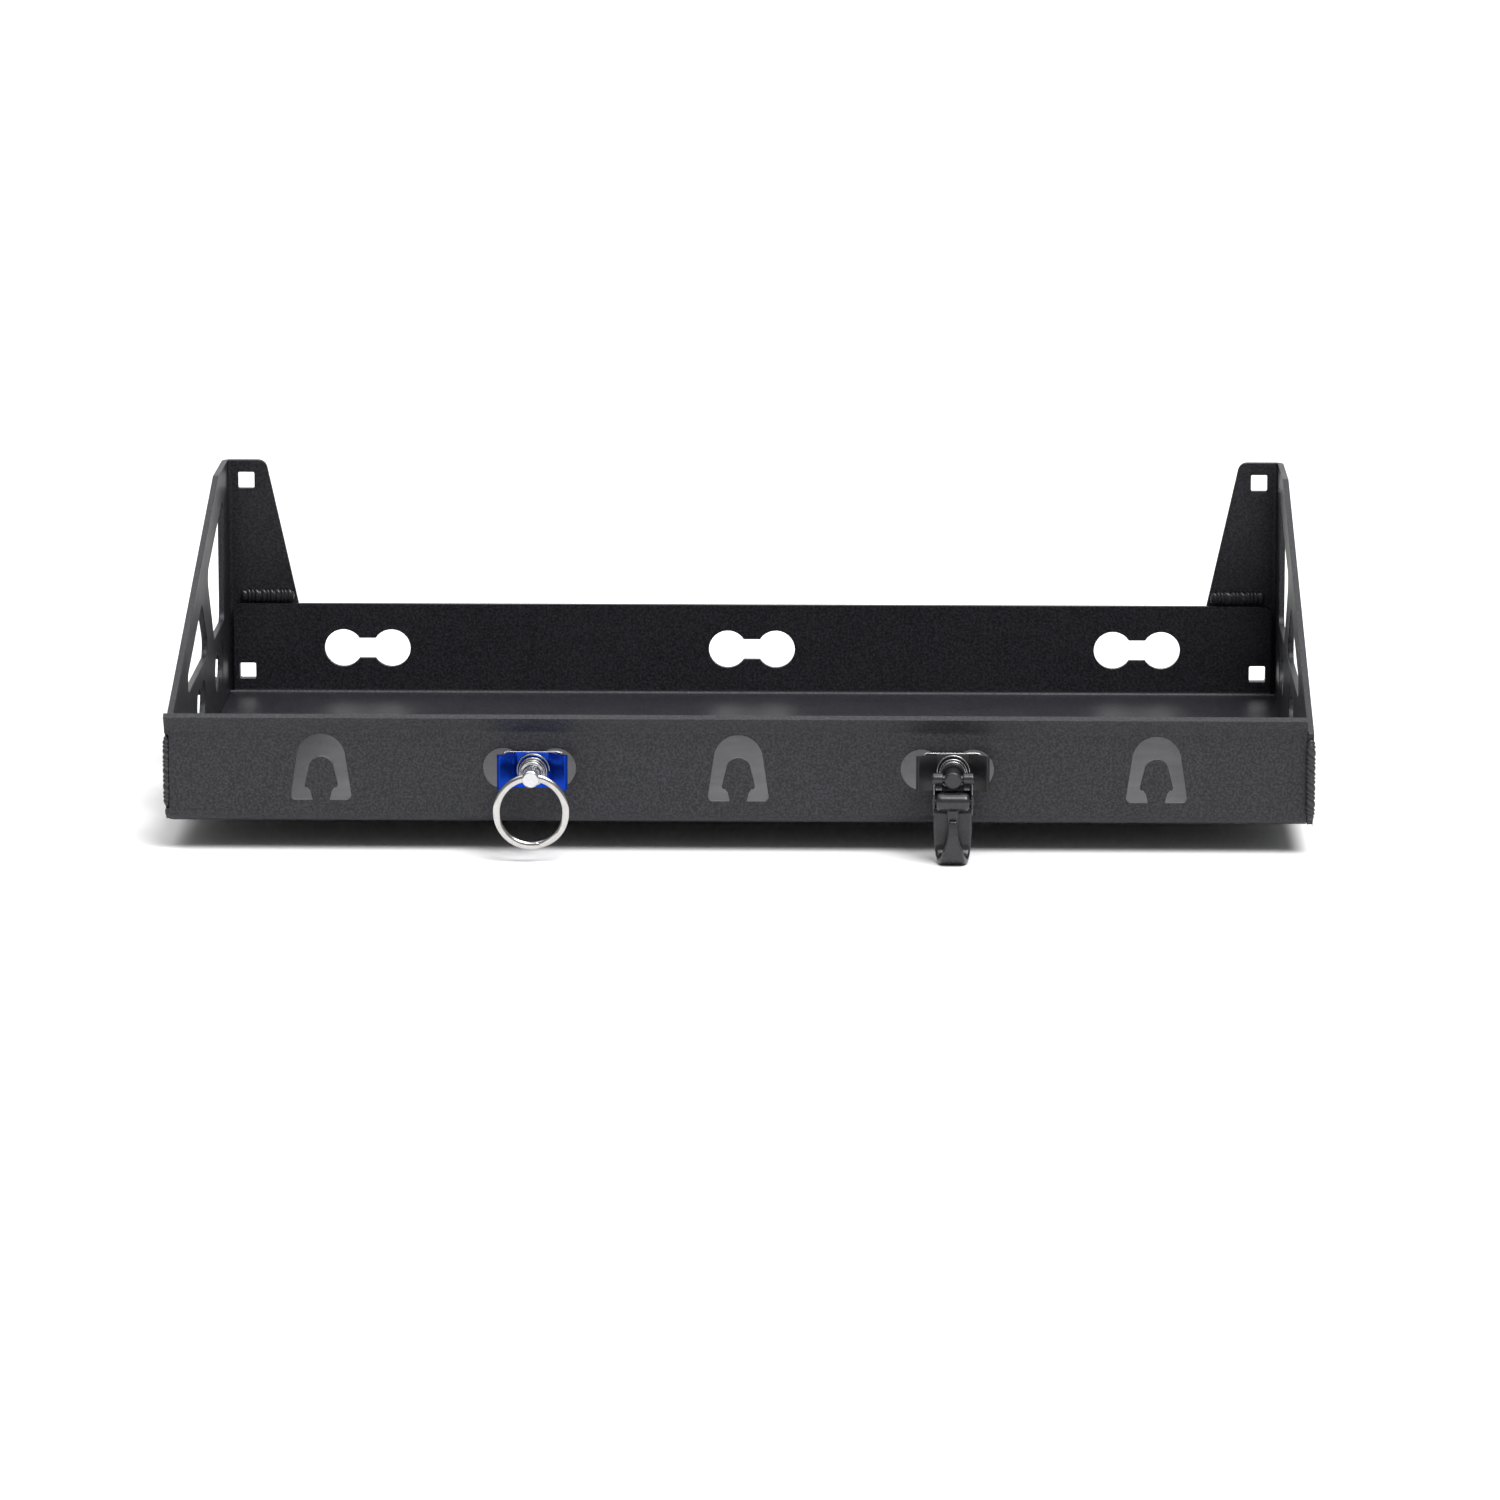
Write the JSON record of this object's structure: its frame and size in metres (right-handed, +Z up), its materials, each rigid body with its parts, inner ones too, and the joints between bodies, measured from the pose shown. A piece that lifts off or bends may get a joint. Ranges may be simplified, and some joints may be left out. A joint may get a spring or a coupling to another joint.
{
  "type": "bolt-on cargo tray",
  "caption": "Low steel cargo tray with tall trussed side plates that bolt to a vehicle's carrier, tie-down track slots, a ring fitting and a snap-hook fitting.",
  "frame": {"origin": "on the rear mounting plane, level with the underside of the tray's floor, midway between the two columns of bolt holes", "axes": "+X to the tray's right, +Y out of the rear face that bolts up, +Z up"},
  "size_m": [0.5596, 0.3668, 0.1414],
  "materials": {
    "powder_coat": "black powder coat with a fine texture, satin",
    "weld": "rippled weld bead under the same powder coat",
    "plated_steel": "bright plated steel",
    "spring_steel": "bright drawn wire",
    "blue_anodised": "bright blue anodised",
    "black_anodised": "black anodised, satin",
    "black_coated_steel": "black coated steel, half gloss"
  },
  "bodies": {
    "tray": {"tray_pan": "powder_coat", "left_side_plate": "powder_coat", "right_side_plate": "powder_coat", "weld_rear_left": "weld", "weld_rear_right": "weld", "weld_front_left": "weld", "weld_front_right": "weld", "weld_floor_left_1": "weld", "weld_floor_left_2": "weld", "weld_floor_left_3": "weld", "weld_floor_right_1": "weld", "weld_floor_right_2": "weld", "weld_floor_right_3": "weld", "ring_stud": "plated_steel", "ring_spring_clip": "plated_steel", "ring_spring": "spring_steel", "hook_stud": "black_coated_steel", "hook_spring_clip": "black_coated_steel", "hook_spring": "spring_steel"},
    "ring_release": {"ring_slider": "blue_anodised", "ring_lock_plate": "plated_steel"},
    "ring": {"split_ring": "plated_steel"},
    "hook_release": {"hook_slider": "black_anodised", "hook_lock_plate": "plated_steel"},
    "hook": {"hook_body": "black_coated_steel", "hook_pin": "black_coated_steel", "gate_pin": "black_coated_steel", "gate_spring": "spring_steel"},
    "gate": {"hook_gate": "black_coated_steel"}
  },
  "joints": [
    {"name": "ring_release_pull", "type": "slide", "parent": "tray", "child": "ring_release", "axis": [0, -1, 0], "range_m": [0, 0.0035], "stiffness_N_per_m": 900, "springref_m": -0.004, "deforming": ["ring_spring"]},
    {"name": "ring_swing", "type": "hinge", "parent": "tray", "child": "ring", "pos_m": [-0.0997, -0.35754, 0.0271], "axis": [-1, 0, 0], "range_deg": [-30, 200]},
    {"name": "hook_release_pull", "type": "slide", "parent": "tray", "child": "hook_release", "axis": [0, -1, 0], "range_m": [0, 0.0035], "stiffness_N_per_m": 900, "springref_m": -0.004, "deforming": ["hook_spring"]},
    {"name": "hook_swing", "type": "hinge", "parent": "tray", "child": "hook", "pos_m": [0.1042, -0.35754, 0.0271], "axis": [-1, 0, 0], "range_deg": [-12, 150]},
    {"name": "gate_open", "type": "hinge", "parent": "hook", "child": "gate", "pos_m": [0.1042, -0.36204, 0.0169], "axis": [1, 0, 0], "range_deg": [0, 28], "stiffness_Nm_per_rad": 0.05, "springref_deg": -17.19}
  ]
}
